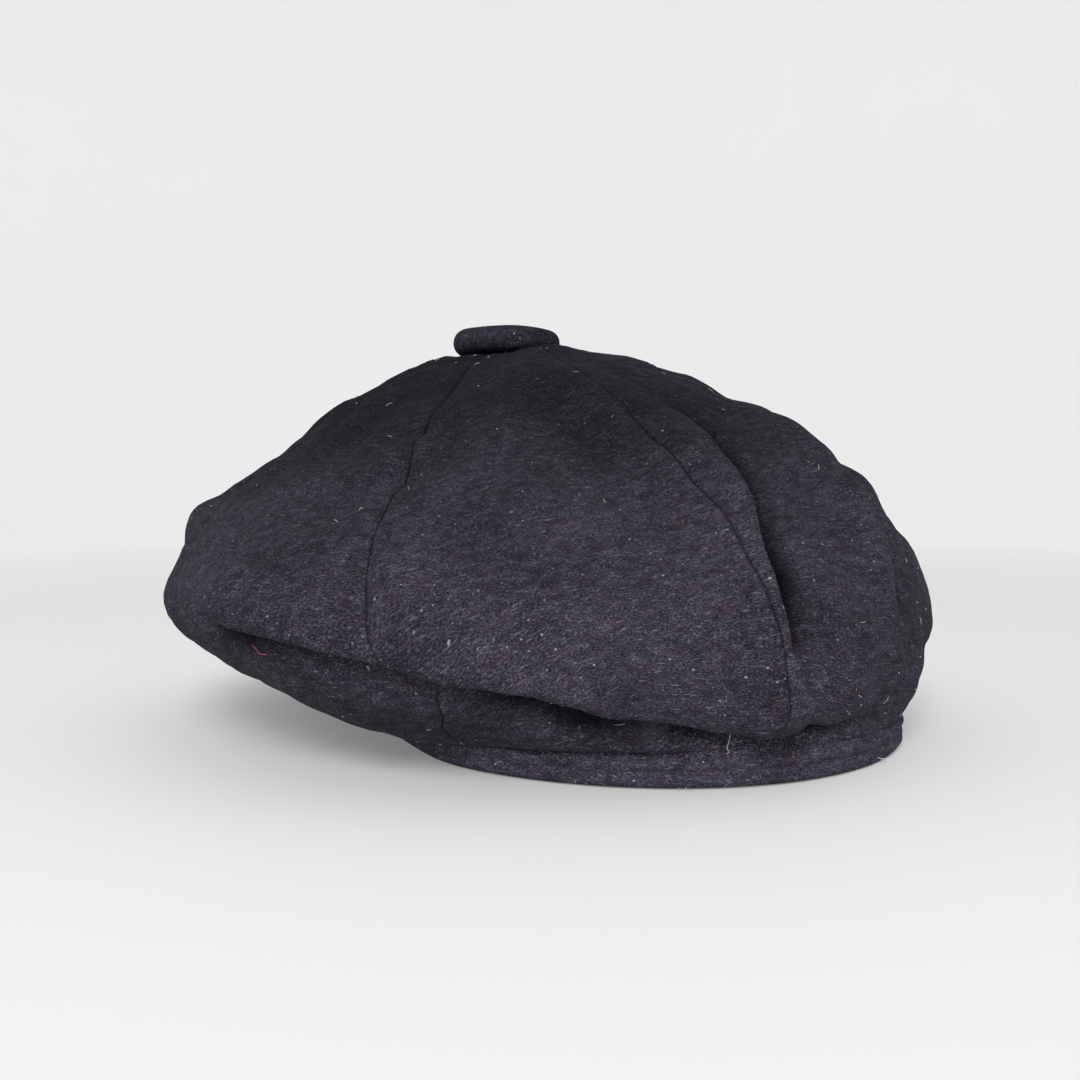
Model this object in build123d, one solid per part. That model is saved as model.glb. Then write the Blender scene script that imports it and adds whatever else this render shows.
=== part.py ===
"""Eight-panel newsboy cap: a slouched cloth crown on a turned hem, with a covered
button, a full lining, a sweatband and a stiffened visor that flexes at its seam.

Frame, in millimetres: the origin is the centre of the head opening, in the plane
that the hem stands on. +Z is up, -Y is the front (the visor), +X is the wearer's left.
An azimuth is measured in degrees from the front, towards the wearer's left.
"""
import os
from math import cos, degrees, radians, sin

from build123d import *

# ---- hem and crown -------------------------------------------------------------
HEAD_A = 88.5            # half width of the hem's outer face
HEAD_B = 102.0           # half length of the hem's outer face
HEM_H = 8.8              # height of the stitched hem, below the gathered crown
FRONT_RISE = 15.0        # how far the hem lifts over the visor, on the centre line
FRONT_HALF_X = 87.0      # the lift dies away at this distance from the centre line

PANEL_NAMES = ["front_left", "side_front_left", "side_back_left", "back_left",
               "back_right", "side_back_right", "side_front_right", "front_right"]
PANEL_STEP = 360.0 / len(PANEL_NAMES)
CLOTH_T = 1.4            # wool shell cloth with its fusing
SEAM_GAP = 0.2           # clearance left on each side of a panel seam
TIP_R = 6.0              # the shell panels stop this far from the button's axis
CORNER_R = 3.5           # reach of the rounded turn between hem and crown

BELLY_X, BELLY_Y = 25.4, -24.0   # centre of the crown's widest line: it slouches front left
BELLY_R = 134.7
BELLY_TWIST = 10.4               # degrees that the belly is twisted on the hem, at the back
SLOUCH_DIR = 126.0               # azimuth of the crown's flattest, highest side
BELLY_Z_LOW, BELLY_Z_HIGH = 32.5, 45.6
TOP_X, TOP_Y, TOP_Z = 36.3, -35.2, 130.4
FULL_SIDE, FLAT_SIDE = 0.552, 0.275      # handle lengths of the full and flattened sides
DROOP_FULL, DROOP_FLAT = 0.09, 0.51      # share of the overhang that leaves the hem flat
DROOP_RISE = 4.3
BELLY_SAG = 0.46                         # share of the belly's height that hangs plumb

SHELL_SPANS = (6, 6, 8)   # facets of a shell panel: side to side, under the belly, above it
LINING_SPANS = (6, 4, 6)
RING_SPANS = 48          # facets round the sweatband and the tape

# ---- inside the crown ----------------------------------------------------------
LINING_T = 0.5
LINING_INSET = 3.6       # the lining hangs this far inside the shell's outer face
LINING_TOP_INSET = 5.4   # and this far below the shell at the button
LINING_FOOT_INSET = 2.05
LINING_FOOT_Z = 18.0     # the lining is caught just below here, behind the sweatband
LINING_TAIL = 3.6
LINING_TIP_R = 3.0
TAPE_INSET, TAPE_T, TAPE_LOW, TAPE_HIGH = 1.7, 0.7, 1.0, 14.0
SWEAT_INSET, SWEAT_T, SWEAT_LOW, SWEAT_HIGH = 3.3, 1.2, 0.6, 31.0
JOIN_GAP = 0.8           # butt join of the sweatband and the tape at the centre back
LABEL_PANEL = 3          # the woven label is sewn to this lining panel
LABEL_W, LABEL_L, LABEL_T, LABEL_R = 42.0, 28.0, 0.5, 3.0
LABEL_CLEAR = 0.15

# ---- covered button ------------------------------------------------------------
BUTTON_R, BUTTON_H, BUTTON_TOP_Z = 19.8, 8.8, 139.8
BUTTON_EDGE = 3.4        # rounding of the rim
BUTTON_CLOTH, SHELL_T, SHELL_FIT = 1.2, 0.5, 0.05
MOUTH_R = 14.0           # the cloth is gathered in to this radius behind the button
COLLET_R, COLLET_T = 15.5, 0.8
SHANK_R, SHANK_HEAD_R, SHANK_HEAD_T = 1.6, 4.0, 0.7
WASHER_R, WASHER_T, WASHER_DROP, WASHER_FIT = 9.0, 0.8, 3.0, 0.05

# ---- visor ---------------------------------------------------------------------
VISOR_GAP = 1.8          # running clearance between the visor and the hem
VISOR_HALF = 50.0        # azimuth at which the visor's corners meet the hem
VISOR_TIP_Y = -163.0
VISOR_TOP_Z = 18.0       # top face on the centre line, at the hem
VISOR_BEND_R = 150.0     # radius of its arch
VISOR_DIP = 8.0          # degrees that it slopes down to the front
COVER_T, BOARD_T, BOARD_FIT = 1.0, 1.7, 0.05
BOARD_INSET = 1.8        # the covers meet outside the board's edge

SPACE = 400.0            # larger than the cap, for cutting shapes


# ---- the cap's surface ---------------------------------------------------------
def heading(azimuth):
    """Unit vector in plan at an azimuth."""
    return Vector(sin(radians(azimuth)), -cos(radians(azimuth)), 0)


def front_lift(x):
    """Height by which the front of the hem is lifted, at a distance from the centre line."""
    return FRONT_RISE * (1.0 - (x / FRONT_HALF_X) ** 2) ** 2 if abs(x) < FRONT_HALF_X else 0.0


def hem_point(azimuth, inset=0.0):
    """A place on the hem's outer face or inside it, lifted with the front of the hem."""
    way = heading(azimuth)
    x, y = (HEAD_A - inset) * way.X, (HEAD_B - inset) * way.Y
    return Vector(x, y, front_lift(x) if y < 0 else 0.0)


def bezier(p0, p1, p2, p3, t):
    u = 1.0 - t
    return p0 * u**3 + p1 * (3 * u * u * t) + p2 * (3 * u * t * t) + p3 * t**3


def meridian(azimuth, layer):
    """Points from the hem, over the belly, to near the button's axis.

    The cloth stands upright for the length of the layer's tail below its foot height,
    and turns outwards there.
    """
    foot = hem_point(azimuth, layer["foot_inset"])
    crease = foot + Vector(0, 0, layer["foot_z"])
    twist = BELLY_TWIST * (1.0 - cos(radians(azimuth))) / 2.0
    lean = (1.0 + cos(radians(azimuth - SLOUCH_DIR))) / 2.0
    belly_z = BELLY_Z_LOW + (BELLY_Z_HIGH - BELLY_Z_LOW) * lean
    reach = BELLY_R - layer["inset"]
    belly = Vector(BELLY_X, BELLY_Y, belly_z) + heading(azimuth + twist) * reach
    top = Vector(TOP_X, TOP_Y, TOP_Z - layer["top_inset"])

    droop = DROOP_FULL + (DROOP_FLAT - DROOP_FULL) * lean
    overhang = Vector(belly.X - foot.X, belly.Y - foot.Y, 0)
    leave = crease + overhang * droop + Vector(0, 0, DROOP_RISE)
    arrive = belly - Vector(0, 0, BELLY_SAG * (belly.Z - crease.Z))
    start = CORNER_R / (leave - crease).length / 3.0
    turned = bezier(crease, leave, arrive, belly, start)
    bottom = crease - Vector(0, 0, CORNER_R)
    corner = (bottom + crease * 2 + turned) / 4

    _, under_spans, upper_spans = layer["spans"]
    points = [crease - Vector(0, 0, layer["tail"]), bottom, corner, turned]
    for i in range(1, under_spans + 1):
        t = start + (1.0 - start) * i / under_spans
        points.append(bezier(crease, leave, arrive, belly, t))

    handle = FULL_SIDE + (FLAT_SIDE - FULL_SIDE) * lean**1.5
    inwards = Vector(top.X - belly.X, top.Y - belly.Y, 0)
    rise = belly + Vector(0, 0, handle * (top.Z - belly.Z))
    shoulder = top - inwards * handle
    last = 1.0 - layer["tip_r"] / inwards.length / (3.0 * handle)
    points += [bezier(belly, rise, shoulder, top, last * i / upper_spans)
               for i in range(1, upper_spans + 1)]
    return points


def inner_meridian(azimuth, layer, thickness):
    """The same points on the inner side of a cloth of some thickness."""
    here = meridian(azimuth, layer)
    ahead, behind = meridian(azimuth + 1.0, layer), meridian(azimuth - 1.0, layer)
    inside = []
    for row, point in enumerate(here):
        across = ahead[row] - behind[row]
        along = here[min(row + 1, len(here) - 1)] - here[max(row - 1, 0)]
        if row == 0:
            along = Vector(0, 0, 1)
        inside.append(point - across.cross(along).normalized() * thickness)
    return inside


def cloth_solid(outer, inner):
    """A closed sheet of flat facets between two grids of points of the same size."""
    last_i, last_j = len(outer) - 1, len(outer[0]) - 1
    corners = []
    for i in range(last_i):
        for j in range(last_j):
            for grid in (outer, inner):
                corners.append((grid[i][j], grid[i + 1][j], grid[i + 1][j + 1], grid[i][j + 1]))
    for i in range(last_i):
        for j in (0, last_j):
            corners.append((outer[i][j], outer[i + 1][j], inner[i + 1][j], inner[i][j]))
    for j in range(last_j):
        for i in (0, last_i):
            corners.append((outer[i][j], outer[i][j + 1], inner[i][j + 1], inner[i][j]))
    facets = []
    for a, b, c, d in corners:
        facets.append(Face(Wire.make_polygon([a, b, c])))
        facets.append(Face(Wire.make_polygon([a, c, d])))
    return Solid(Shell(facets))


def panel(number, layer, thickness):
    """One cloth panel, with a clearance at both of its seams."""
    spans = layer["spans"][0]
    azimuths = [PANEL_STEP * (number + i / spans) for i in range(spans + 1)]
    outer = [meridian(azimuth, layer) for azimuth in azimuths]
    inner = [inner_meridian(azimuth, layer, thickness) for azimuth in azimuths]
    for columns in (outer, inner):
        for row in range(len(columns[0])):
            for edge, beside in ((0, 1), (-1, -2)):
                way = (columns[beside][row] - columns[edge][row]).normalized()
                columns[edge][row] += way * SEAM_GAP
    return cloth_solid(outer, inner)


def head_ring(inset, thickness, low, high):
    """A band round the head opening, with a butt join at the centre back."""
    join_half = degrees(JOIN_GAP / 2 / HEAD_A)
    sweep = 360.0 - 2 * join_half
    azimuths = [join_half - 180.0 + sweep * i / RING_SPANS for i in range(RING_SPANS + 1)]
    sides = []
    for depth in (inset, inset + thickness):
        feet = [hem_point(azimuth, depth) for azimuth in azimuths]
        sides.append([[foot + Vector(0, 0, low), foot + Vector(0, 0, high)] for foot in feet])
    return cloth_solid(*sides)


# ---- button --------------------------------------------------------------------
def on_button_axis(shape, z):
    return Pos(TOP_X, TOP_Y, z) * shape


def button_blank(inset):
    """The button's outer shape, or the same shape inside it."""
    height = BUTTON_H - 2 * inset
    blank = Cylinder(BUTTON_R - inset, height)
    blank = fillet(blank.edges(), min(BUTTON_EDGE - inset, height / 2.2))
    return on_button_axis(blank, BUTTON_TOP_Z - BUTTON_H / 2)


def button_pieces():
    """Cloth cover, pressed shell, collet plate, shank with its head, and inner washer."""
    base = BUTTON_TOP_Z - BUTTON_H
    mouth = on_button_axis(Cylinder(MOUTH_R, BUTTON_H), base)
    cover = button_blank(0.0) - button_blank(BUTTON_CLOTH) - mouth
    shell_out = BUTTON_CLOTH + SHELL_FIT
    wide_mouth = on_button_axis(Cylinder(COLLET_R, BUTTON_H), base)
    shell = button_blank(shell_out) - button_blank(shell_out + SHELL_T) - wide_mouth
    collet_z = base + BUTTON_CLOTH + SHELL_FIT + COLLET_T / 2
    collet = on_button_axis(Cylinder(COLLET_R - SHELL_FIT, COLLET_T), collet_z)

    washer_z = TOP_Z - WASHER_DROP - WASHER_T / 2
    washer_disc = Cylinder(WASHER_R, WASHER_T) - Cylinder(SHANK_R + WASHER_FIT, BUTTON_H)
    washer = on_button_axis(washer_disc, washer_z)
    head_z = washer_z - WASHER_T / 2 - WASHER_FIT - SHANK_HEAD_T / 2
    shank_top = collet_z - COLLET_T / 2
    shank_h = shank_top - head_z
    shank = on_button_axis(Cylinder(SHANK_R, shank_h), head_z + shank_h / 2)
    shank += on_button_axis(Cylinder(SHANK_HEAD_R, SHANK_HEAD_T), head_z)
    return {"button_cover": cover, "button_shell": shell, "button_collet": collet,
            "button_shank": shank, "button_washer": washer}


# ---- visor ---------------------------------------------------------------------
def visor_layer(top_depth, bottom_depth, inset, hem_gap):
    """The part of the visor between two depths below its arched top face."""
    corner = hem_point(VISOR_HALF, -VISOR_GAP)
    plan = Pos(0, corner.Y) * Ellipse(corner.X - inset, corner.Y - VISOR_TIP_Y - inset)
    plan &= Pos(0, corner.Y - SPACE / 2) * Rectangle(SPACE, SPACE)
    plan -= Ellipse(HEAD_A + hem_gap, HEAD_B + hem_gap)
    slab = extrude(plan, SPACE / 4)
    seat = Plane(origin=(0, -HEAD_B, VISOR_TOP_Z - VISOR_BEND_R),
                 x_dir=(1, 0, 0), z_dir=(0, -1, -sin(radians(VISOR_DIP))))
    outer = seat * Cylinder(VISOR_BEND_R - top_depth, SPACE)
    inner = seat * Cylinder(VISOR_BEND_R - bottom_depth, SPACE)
    return slab & (outer - inner)


def visor_pieces():
    """Stiffening board, and the cloth covers that meet around its edge."""
    middle = COVER_T + BOARD_T / 2
    full = 2 * COVER_T + BOARD_T
    pocket = visor_layer(COVER_T - BOARD_FIT, COVER_T + BOARD_T + BOARD_FIT,
                         BOARD_INSET - BOARD_FIT, VISOR_GAP + BOARD_INSET - BOARD_FIT)
    return {"visor_board": visor_layer(COVER_T, COVER_T + BOARD_T, BOARD_INSET,
                                       VISOR_GAP + BOARD_INSET),
            "visor_top_cover": visor_layer(0.0, middle, 0.0, VISOR_GAP) - pocket,
            "visor_under_cover": visor_layer(middle, full, 0.0, VISOR_GAP) - pocket}


# ---- panels, lining and head bands ---------------------------------------------
SHELL_LAYER = {"inset": 0.0, "foot_inset": 0.0, "top_inset": 0.0, "foot_z": HEM_H,
               "tail": HEM_H, "tip_r": TIP_R, "spans": SHELL_SPANS}
LINING_LAYER = {"inset": LINING_INSET, "foot_inset": LINING_FOOT_INSET,
                "top_inset": LINING_TOP_INSET, "foot_z": LINING_FOOT_Z,
                "tail": LINING_TAIL, "tip_r": LINING_TIP_R, "spans": LINING_SPANS}


def cloth_pieces():
    """The eight shell panels, the eight lining panels, the tape and the sweatband."""
    pieces = {}
    for number, side in enumerate(PANEL_NAMES):
        pieces["crown_" + side] = panel(number, SHELL_LAYER, CLOTH_T)
        pieces["lining_" + side] = panel(number, LINING_LAYER, LINING_T)
    pieces["hem_tape"] = head_ring(TAPE_INSET, TAPE_T, TAPE_LOW, TAPE_HIGH)
    pieces["sweatband"] = head_ring(SWEAT_INSET, SWEAT_T, SWEAT_LOW, SWEAT_HIGH)
    return pieces


def label_piece():
    """A blank woven label, lying on the inner side of one lining panel."""
    depth = LINING_T + LABEL_CLEAR
    layer = {**LINING_LAYER, "inset": LINING_INSET + depth,
             "foot_inset": LINING_FOOT_INSET + depth, "top_inset": LINING_TOP_INSET + depth}
    sheet = panel(LABEL_PANEL, layer, LABEL_T)
    middle = sheet.center()
    along = Vector(TOP_X, TOP_Y, TOP_Z) - middle
    across = heading(PANEL_STEP * (LABEL_PANEL + 0.5) + 90.0)
    label_plane = Plane(origin=middle, x_dir=across, z_dir=across.cross(along))
    outline = label_plane * RectangleRounded(LABEL_W, LABEL_L, LABEL_R)
    return sheet & extrude(outline, LABEL_W / 2, both=True)


# ---- output --------------------------------------------------------------------
def main():
    os.makedirs("parts", exist_ok=True)
    pieces = {**cloth_pieces(), "lining_label": label_piece(),
              **button_pieces(), **visor_pieces()}
    for node, shape in pieces.items():
        export_step(shape, "parts/" + node + ".step")


main()
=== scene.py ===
"""The visible newsboy cap: sculpted cloth panels, lining, sweatband, button and visor.

Shapes are worked out in millimetres in the CAD model's frame and written in metres.
An azimuth is in degrees from the front (-Y) towards the wearer's left (+X). A height
along a meridian runs from -1 at the hem's lower edge, through 0 at its top and 1 at
the crown's widest line, to 2 at the button's axis.
"""
from math import cos, degrees, hypot, pi, radians, sin

import bmesh
import bpy
import numpy as np
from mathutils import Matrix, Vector
from mathutils.kdtree import KDTree


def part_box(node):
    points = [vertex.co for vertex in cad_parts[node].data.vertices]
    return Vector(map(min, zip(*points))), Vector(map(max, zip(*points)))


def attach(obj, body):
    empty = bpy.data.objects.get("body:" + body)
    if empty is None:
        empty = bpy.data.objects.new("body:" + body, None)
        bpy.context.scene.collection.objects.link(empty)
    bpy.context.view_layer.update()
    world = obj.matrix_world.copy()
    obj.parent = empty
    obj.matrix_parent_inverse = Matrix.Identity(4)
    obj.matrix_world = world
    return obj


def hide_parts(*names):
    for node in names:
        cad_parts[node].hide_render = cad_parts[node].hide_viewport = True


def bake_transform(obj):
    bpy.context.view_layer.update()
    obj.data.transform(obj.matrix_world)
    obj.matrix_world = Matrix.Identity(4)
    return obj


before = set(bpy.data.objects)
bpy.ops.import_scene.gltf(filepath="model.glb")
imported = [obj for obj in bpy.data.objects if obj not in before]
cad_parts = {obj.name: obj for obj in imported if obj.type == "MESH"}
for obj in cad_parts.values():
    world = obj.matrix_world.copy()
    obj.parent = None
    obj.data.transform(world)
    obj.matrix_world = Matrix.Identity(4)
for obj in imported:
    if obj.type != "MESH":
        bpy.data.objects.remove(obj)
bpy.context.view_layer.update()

MM = 0.001
RNG_SEED = 11

# ---- the cap's smooth shape, as in the CAD model -------------------------------
HEAD_A, HEAD_B, HEM_H = 88.5, 102.0, 8.8
FRONT_RISE, FRONT_HALF_X = 15.0, 87.0
SIDE_RISE, SIDE_RISE_AT, SIDE_RISE_SPREAD = 4.5, 88.0, 27.0
PANEL_NAMES = ["front_left", "side_front_left", "side_back_left", "back_left",
               "back_right", "side_back_right", "side_front_right", "front_right"]
PANEL_STEP = 360.0 / len(PANEL_NAMES)
BELLY_X, BELLY_Y, BELLY_R, BELLY_TWIST = 25.4, -24.0, 134.7, 10.4
SLOUCH_DIR = 126.0
BELLY_Z_LOW, BELLY_Z_HIGH = 32.5, 45.6
TOP_X, TOP_Y, TOP_Z = 36.3, -35.2, 130.4
BUTTON_R, BUTTON_TOP_Z = 19.8, 139.8
FULL_SIDE, FLAT_SIDE = 0.552, 0.275
DROOP_FULL, DROOP_FLAT, DROOP_RISE = 0.09, 0.51, 4.3
BELLY_SAG, LEAST_SAG = 0.46, 10.0

# A layer's insets at the widest line, the foot and the top; where its wall begins, and how
# far it hangs below that.
SHELL_LAYER = {"inset": 0.0, "foot_inset": 0.0, "top_inset": 0.0, "foot_z": HEM_H, "tail": HEM_H}
LINING_LAYER = {"inset": 3.6, "foot_inset": 2.05, "top_inset": 5.4, "foot_z": 18.0, "tail": 3.6}

CLOTH_T = 1.4
COLUMNS = 60             # spans across one shell panel
HEM_ROWS, UNDER_ROWS, UPPER_ROWS = 18, 60, 76


def headings(azimuth):
    """Unit vectors in plan for an array of azimuths."""
    turn = np.radians(azimuth)
    return np.stack([np.sin(turn), -np.cos(turn), np.zeros_like(turn)], -1)


def unit(vectors):
    return vectors / np.linalg.norm(vectors, axis=-1, keepdims=True)


def front_lift(x):
    share = np.clip(1.0 - (x / FRONT_HALF_X) ** 2, 0.0, 1.0)
    return FRONT_RISE * share**2


def hem_height(azimuth, points):
    """How far the hem stands off the floor: over the visor, and a little on the slouched side."""
    front = np.where(points[..., 1] < 0, front_lift(points[..., 0]), 0.0)
    return front + SIDE_RISE * np.exp(-((azimuth - SIDE_RISE_AT) / SIDE_RISE_SPREAD) ** 4)


def hem_foot(azimuth, inset):
    """Outward directions, and points of the hem's lower edge moved in by an inset."""
    way = headings(azimuth)
    foot = way * np.array([HEAD_A - inset, HEAD_B - inset, 0.0])
    foot[..., 2] = hem_height(azimuth % 360.0, foot)
    return way, foot


def bezier(p0, p1, p2, p3, t):
    u = 1.0 - t
    return p0 * u**3 + p1 * (3 * u * u * t) + p2 * (3 * u * t * t) + p3 * t**3


def smooth_points(azimuth, height, layer):
    """Points of a smooth layer of the cap, for arrays of azimuth and height."""
    _, foot = hem_foot(azimuth, layer["foot_inset"])
    up = np.array([0.0, 0.0, 1.0])
    crease = foot + up * layer["foot_z"]
    twist = BELLY_TWIST * (1.0 - np.cos(np.radians(azimuth))) / 2.0
    lean = (1.0 + np.cos(np.radians(azimuth - SLOUCH_DIR))) / 2.0
    belly = headings(azimuth + twist) * (BELLY_R - layer["inset"])
    belly += np.array([BELLY_X, BELLY_Y, 0.0])
    belly[..., 2] = BELLY_Z_LOW + (BELLY_Z_HIGH - BELLY_Z_LOW) * lean
    top = np.array([TOP_X, TOP_Y, TOP_Z - layer["top_inset"]])

    flat = np.array([1.0, 1.0, 0.0])
    droop = (DROOP_FULL + (DROOP_FLAT - DROOP_FULL) * lean)[..., None]
    leave = crease + (belly - crease) * flat * droop + up * DROOP_RISE
    arrive = belly - up * np.maximum(BELLY_SAG * (belly - crease)[..., 2:3], LEAST_SAG)
    handle = (FULL_SIDE + (FLAT_SIDE - FULL_SIDE) * lean**1.5)[..., None]
    rise = belly + (top - belly) * up * handle
    shoulder = top - (top - belly) * flat * handle

    h = height[..., None]
    hem = crease + up * layer["tail"] * np.minimum(h, 0.0)
    under = bezier(crease, leave, arrive, belly, np.clip(h, 0.0, 1.0))
    upper = bezier(belly, rise, shoulder, top, np.clip(h - 1.0, 0.0, 1.0))
    return np.where(h < 0, hem, np.where(h < 1, under, upper))


def smooth_frame(azimuth, height, layer):
    """Points, outward normals and upward tangents of a smooth layer."""
    points = smooth_points(azimuth, height, layer)
    turn = 0.3
    step = 0.012
    across = smooth_points(azimuth + turn, height, layer)
    across -= smooth_points(azimuth - turn, height, layer)
    above = smooth_points(azimuth, np.minimum(height + step, 1.995), layer)
    below = smooth_points(azimuth, np.maximum(height - step, -1.0), layer)
    along = above - below
    return points, unit(np.cross(across, along)), unit(along)


# ---- mesh helpers ----------------------------------------------------------------
def new_object(name, vertices, faces, material, smooth=True):
    """A mesh object from millimetre vertices."""
    mesh = bpy.data.meshes.new(name)
    mesh.from_pydata((np.asarray(vertices) * MM).tolist(), [], faces)
    mesh.validate()
    obj = bpy.data.objects.new(name, mesh)
    bpy.context.scene.collection.objects.link(obj)
    obj.data.materials.append(material)
    if smooth:
        mesh.polygons.foreach_set("use_smooth", [True] * len(mesh.polygons))
    return obj


def grid_faces(columns, rows, start=0, flip=False):
    """Quads of a grid of points stored column by column."""
    faces = []
    for i in range(columns - 1):
        for j in range(rows - 1):
            a = start + i * rows + j
            quad = (a, a + rows, a + rows + 1, a + 1)
            faces.append(quad[::-1] if flip else quad)
    return faces


def closed_sheet(outer, inner, ring=False):
    """Vertices and faces of a closed sheet between two grids; a ring has no walls at its sides."""
    columns, rows = outer.shape[:2]
    count = columns * rows
    vertices = np.concatenate([outer.reshape(-1, 3), inner.reshape(-1, 3)])
    faces = grid_faces(columns, rows) + grid_faces(columns, rows, count, True)
    for i in range(columns - 1):
        for j, flip in ((0, False), (rows - 1, True)):
            a, b = i * rows + j, (i + 1) * rows + j
            quad = (a, a + count, b + count, b)
            faces.append(quad[::-1] if flip else quad)
    for j in range(0 if ring else rows - 1):
        for i, flip in ((0, True), (columns - 1, False)):
            a = i * rows + j
            quad = (a, a + count, a + 1 + count, a + 1)
            faces.append(quad[::-1] if flip else quad)
    return vertices, faces


def weld(obj, distance=1e-6):
    """Merge the points that coincide, as at the start and end of a ring."""
    shape = bmesh.new()
    shape.from_mesh(obj.data)
    bmesh.ops.remove_doubles(shape, verts=shape.verts, dist=distance)
    shape.to_mesh(obj.data)
    shape.free()


def grid_normals(grid):
    """Unit normals of a grid of points stored column by column."""
    normal = np.cross(np.gradient(grid, axis=0), np.gradient(grid, axis=1))
    return normal / np.maximum(np.linalg.norm(normal, axis=-1, keepdims=True), 1e-9)


def store_vectors(obj, name, values):
    layer = obj.data.attributes.new(name, "FLOAT_VECTOR", "POINT")
    layer.data.foreach_set("vector", np.asarray(values, dtype=np.float32).ravel())


def store_numbers(obj, name, values):
    layer = obj.data.attributes.new(name, "FLOAT", "POINT")
    layer.data.foreach_set("value", np.asarray(values, dtype=np.float32).ravel())


def store_place(obj, place):
    """Where each point of a two-sided sheet lies on the cloth, for its material."""
    store_vectors(obj, "cloth", np.concatenate([place.reshape(-1, 3)] * 2))


def store_shade(obj, shade):
    """How much painted shade each point of a two-sided sheet carries, for its material; below zero it
    is painted light.
    """
    store_numbers(obj, "shade", np.concatenate([shade.ravel()] * 2))


def travelled(points, axis):
    """Distance run along one axis of a grid of points, from its start."""
    steps = np.cumsum(np.linalg.norm(np.diff(points, axis=axis), axis=-1), axis=axis)
    start = [(0, 0)] * steps.ndim
    start[axis] = (1, 0)
    return np.pad(steps, start)


def ripple(points, wavelength, seed, waves=26):
    """Smooth even noise with a spread of about 1, as a sum of waves in random directions."""
    rng = np.random.default_rng(seed)
    total = np.zeros(points.shape[:-1])
    for _ in range(waves):
        way = unit(rng.normal(size=3))
        length = wavelength * rng.uniform(0.7, 1.5)
        total += np.sin(points @ way * (2 * pi / length) + rng.uniform(0, 2 * pi))
    return total / np.sqrt(waves / 2.0)


def bump(distance, width):
    return np.exp(-(distance / width) ** 2)


def soft_step(x):
    x = np.clip(x, 0.0, 1.0)
    return x * x * (3.0 - 2.0 * x)


# ---- the sculpted crown ----------------------------------------------------------
# Each seam wanders from its even azimuth by these degrees at these heights.
SEAM_HEIGHTS = [-1.0, 0.0, 0.15, 0.42, 0.68, 0.79, 0.89, 1.0, 1.2, 1.35, 1.6, 2.0]
SEAM_DRIFT = {
    3: [-7.5, -6.0, -3.0, 4.0, 8.0, 7.0, 4.5, 4.0, 1.0, 0.0, 0.0, 0.0],
    4: [2.2, 2.2, 2.2, 2.2, 2.2, 2.0, 1.8, 1.4, 0.2, -0.4, -0.8, 0.0],
    5: [0.0, 0.0, 0.0, 0.0, 0.5, 0.5, 0.5, 0.5, 0.0, 0.0, 0.0, 0.0],
}

# The long fold under the back: (azimuth, height, strength).
FOLD_LINE = [(101, 1.04, 0.0), (110, 1.01, 0.25), (115.5, 0.985, 1.05), (121, 0.95, 1.2),
             (129.5, 0.875, 1.2), (138, 0.785, 1.2), (145, 0.665, 1.15), (149.5, 0.56, 1.05),
             (156, 0.46, 1.0), (161, 0.42, 0.75), (165, 0.43, 0.30), (168, 0.44, 0.55),
             (173, 0.44, 0.95), (180, 0.42, 1.1), (185, 0.39, 0.8), (188, 0.38, 0.55),
             (193, 0.37, 0.8), (199, 0.35, 0.45), (208, 0.36, 0.15), (216, 0.36, 0.0)]

# The fold in section: distance above its line, outward move and slide up the cloth, in mm.
FOLD_PROFILE = [(-26, 0.0, 0.0), (-17, -2.2, 0.6), (-11, -6.0, 2.4), (-6, -9.2, 4.2),
                (-2.5, -9.0, 3.8), (0, -5.5, 0.4), (2.2, -1.0, -5.2), (4.5, 2.8, -7.8),
                (9, 4.5, -7.2), (16, 3.2, -4.6), (28, 1.2, -1.6), (42, 0.0, 0.0)]
FOLD_STEP, FOLD_ROUNDING = 0.25, 0.9

# Creases: points as (azimuth, height), depth in mm (below zero sinks), width in mm.
CREASES = [
    ([(158, 1.72), (163, 1.60), (168, 1.48), (173, 1.36)], -3.6, 8.0),
    ([(146, 1.60), (152, 1.50), (158, 1.36)], 1.2, 10.0),
    ([(122, 1.26), (129, 1.34), (136, 1.39), (142, 1.41)], -3.0, 5.0),
    ([(124, 1.38), (133, 1.45), (140, 1.47)], 2.4, 5.5),
    ([(104, 1.30), (112, 1.24), (122, 1.16)], -1.8, 9.0),
    ([(233, 1.46), (229, 1.36)], -3.6, 3.5),
    ([(207, 0.36), (203, 0.6), (197, 0.90)], -2.8, 4.5),
    ([(209, 0.36), (207, 0.62), (206, 0.92)], -2.2, 3.5),
    ([(212, 0.36), (215, 0.62), (219, 0.98)], -2.8, 4.0),
    ([(205, 0.36), (197, 0.48), (189, 0.62)], -2.2, 4.0),
    ([(90, 1.36), (90, 1.22), (92, 1.05), (95, 0.94)], -4.5, 6.0),
]
# Ridges with a steep far side: points going up, height, and reach before and after in mm.
RIDGES = [
    ([(193, 0.50), (187.5, 0.64), (184, 0.80), (182.4, 0.95), (182, 1.08), (182.8, 1.22),
      (185.5, 1.36), (190, 1.52), (192, 1.72)], 5.5, 10.0, 3.6),
    ([(203, 0.92), (205, 1.10), (208, 1.22), (213, 1.34), (219, 1.47), (225, 1.60)], 5.2, 11.0, 4.0),
]
VALLEY_AT, VALLEY_FALL, VALLEY_REST = 2.2, 0.9, 0.45
PATH_SPOTS = 150
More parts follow.
